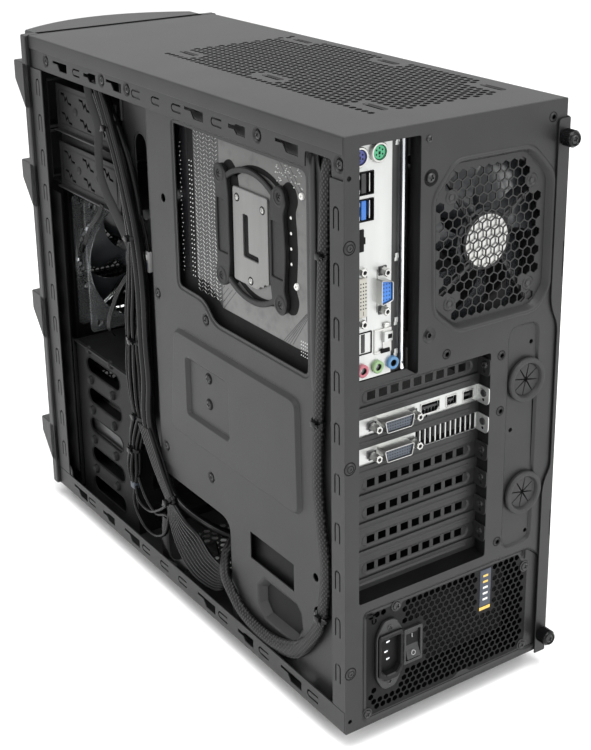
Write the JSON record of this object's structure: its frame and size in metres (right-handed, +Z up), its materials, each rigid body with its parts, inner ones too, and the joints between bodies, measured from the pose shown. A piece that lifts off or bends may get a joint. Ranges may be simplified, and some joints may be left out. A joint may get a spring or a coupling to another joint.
{
  "type": "desktop computer tower",
  "caption": "Upright steel desktop computer case with its cable side open, rear connectors and card slots, fans, power supply, drive bays, side cover and moulded front.",
  "frame": {"origin": "on the floor, under the middle of the whole object's bounding box", "axes": "+Z up, +Y out of the rear connector panel, +X out of the open cable side"},
  "size_m": [0.182, 0.5048, 0.418],
  "materials": {
    "chassis_paint": "fine satin black powder coat",
    "plated_steel": "bright nickel-plated sheet",
    "bare_aluminium": "satin",
    "circuit_board": "dark solder mask with tinned joints",
    "black_plastic": "satin moulded",
    "smoked_plastic": "smoked, semi-gloss",
    "port_plastic": "moulded connector housings",
    "bezel_plastic": "fine moulded texture",
    "black_screw": "black oxide",
    "black_rubber": "matt",
    "cable_sleeve": "satin vinyl insulation and braid"
  },
  "bodies": {
    "chassis": {"rear_panel": "chassis_paint", "top_panel": "chassis_paint", "bottom_panel": "chassis_paint", "front_frame": "chassis_paint", "motherboard_tray": "chassis_paint", "optical_bay_cage": "chassis_paint", "drive_cage": "chassis_paint", "hard_drive": "bare_aluminium", "motherboard": "circuit_board", "io_shield": "plated_steel", "keyboard_mouse_ports": "port_plastic", "display_ports": "port_plastic", "usb_ports": "port_plastic", "video_ports": "port_plastic", "network_port": "port_plastic", "audio_jacks": "port_plastic", "slot_cover_7": "chassis_paint", "slot_cover_6": "chassis_paint", "slot_cover_5": "chassis_paint", "slot_cover_4": "chassis_paint", "slot_cover_1": "chassis_paint", "graphics_bracket": "plated_steel", "graphics_board": "circuit_board", "graphics_cooler": "black_plastic", "cooler_backplate": "black_plastic", "socket_backplate": "plated_steel", "cpu_heatsink": "bare_aluminium", "memory_module_1": "circuit_board", "memory_module_2": "circuit_board", "rear_fan_frame": "black_plastic", "front_fan_frame": "smoked_plastic", "cpu_fan_frame": "black_plastic", "psu_fan_frame": "black_plastic", "psu_case": "chassis_paint", "psu_inlet": "black_plastic", "psu_switch_frame": "black_plastic", "cable_grommet_1": "black_rubber", "cable_grommet_2": "black_rubber", "front_bezel": "bezel_plastic", "bay_cover_1": "bezel_plastic", "bay_cover_2": "bezel_plastic", "front_port_block": "black_plastic", "foot_1": "black_rubber", "foot_2": "black_rubber", "foot_3": "black_rubber", "foot_4": "black_rubber", "main_cable_loom": "cable_sleeve", "drive_cable_loom": "cable_sleeve", "processor_power_cable": "cable_sleeve"},
    "side_panel": {"left_side_panel": "chassis_paint"},
    "upper_thumbscrew": {"thumbscrew_upper": "black_screw"},
    "lower_thumbscrew": {"thumbscrew_lower": "black_screw"},
    "rear_fan": {"rear_fan_rotor": "black_plastic"},
    "front_fan": {"front_fan_rotor": "black_plastic"},
    "cpu_fan": {"cpu_fan_rotor": "black_plastic"},
    "psu_fan": {"psu_fan_rotor": "black_plastic"},
    "graphics_fan": {"graphics_fan_rotor": "black_plastic"},
    "rocker": {"psu_rocker": "black_plastic"},
    "power_key": {"power_button": "bezel_plastic"},
    "reset_key": {"reset_button": "bezel_plastic"}
  },
  "joints": [
    {"name": "side_panel_slide", "type": "slide", "parent": "chassis", "child": "side_panel", "axis": [0, 1, 0], "range_m": [0, 0.018]},
    {"name": "upper_thumbscrew_turn", "type": "hinge", "parent": "side_panel", "child": "upper_thumbscrew", "pos_m": [-0.084, 0.2393, 0.3935], "axis": [0, 1, 0], "continuous": true},
    {"name": "lower_thumbscrew_turn", "type": "hinge", "parent": "side_panel", "child": "lower_thumbscrew", "pos_m": [-0.084, 0.2393, 0.027], "axis": [0, 1, 0], "continuous": true},
    {"name": "rear_fan_spin", "type": "hinge", "parent": "chassis", "child": "rear_fan", "pos_m": [-0.0284, 0.2213, 0.3325], "axis": [0, 1, 0], "continuous": true},
    {"name": "front_fan_spin", "type": "hinge", "parent": "chassis", "child": "front_fan", "pos_m": [0, -0.1827, 0.22], "axis": [0, 1, 0], "continuous": true},
    {"name": "cpu_fan_spin", "type": "hinge", "parent": "chassis", "child": "cpu_fan", "pos_m": [0.0072, 0.1183, 0.325], "axis": [1, 0, 0], "continuous": true},
    {"name": "psu_fan_spin", "type": "hinge", "parent": "chassis", "child": "psu_fan", "pos_m": [0, 0.1483, 0.0289], "axis": [0, 0, 1], "continuous": true},
    {"name": "graphics_fan_spin", "type": "hinge", "parent": "chassis", "child": "graphics_fan", "pos_m": [0.01, 0.1093, 0.208], "axis": [0, 0, 1], "continuous": true},
    {"name": "psu_rocker_tilt", "type": "hinge", "parent": "chassis", "child": "rocker", "pos_m": [0.032, 0.237, 0.0615], "axis": [1, 0, 0], "range_deg": [-16, 0]},
    {"name": "power_button_press", "type": "slide", "parent": "chassis", "child": "power_key", "axis": [0, 1, 0], "range_m": [0, 0.0025], "stiffness_N_per_m": 400},
    {"name": "reset_button_press", "type": "slide", "parent": "chassis", "child": "reset_key", "axis": [0, 1, 0], "range_m": [0, 0.0025], "stiffness_N_per_m": 300}
  ]
}
